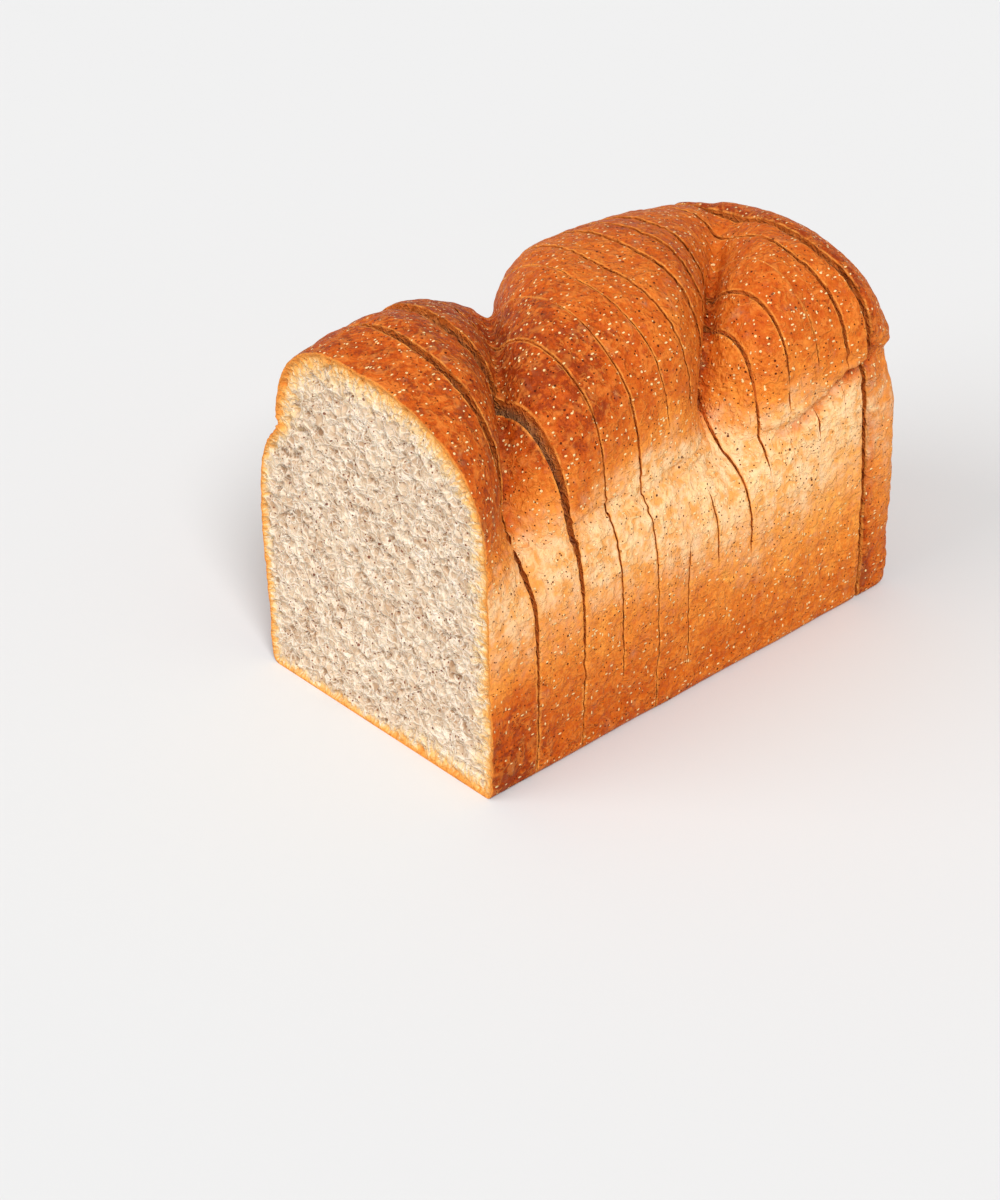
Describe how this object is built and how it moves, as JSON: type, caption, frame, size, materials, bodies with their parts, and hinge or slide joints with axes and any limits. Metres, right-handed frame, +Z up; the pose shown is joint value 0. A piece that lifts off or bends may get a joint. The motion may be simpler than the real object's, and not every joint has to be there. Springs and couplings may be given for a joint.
{
  "type": "sliced multigrain bread loaf",
  "caption": "Pan loaf of multigrain bread with three risen lobes, cut into slices that stand together, with the cut face open at the front.",
  "frame": {"origin": "middle of the loaf's footprint on the surface it stands on", "axes": "+Z up, +Y along the loaf from the open cut face towards the heel, +X across it"},
  "size_m": [0.1208, 0.196, 0.1457],
  "materials": {
    "crust": "baked crust, dull with a faint sheen",
    "heel": "baked crust, dull with a faint sheen"
  },
  "bodies": {
    "root": {"slice_01": "crust", "slice_02": "crust", "slice_03": "crust", "slice_04": "crust", "slice_05": "crust", "slice_06": "crust", "slice_07": "crust", "slice_08": "crust", "slice_09": "crust", "slice_10": "crust", "slice_11": "crust", "slice_12": "crust", "heel_slice": "heel"}
  },
  "joints": []
}
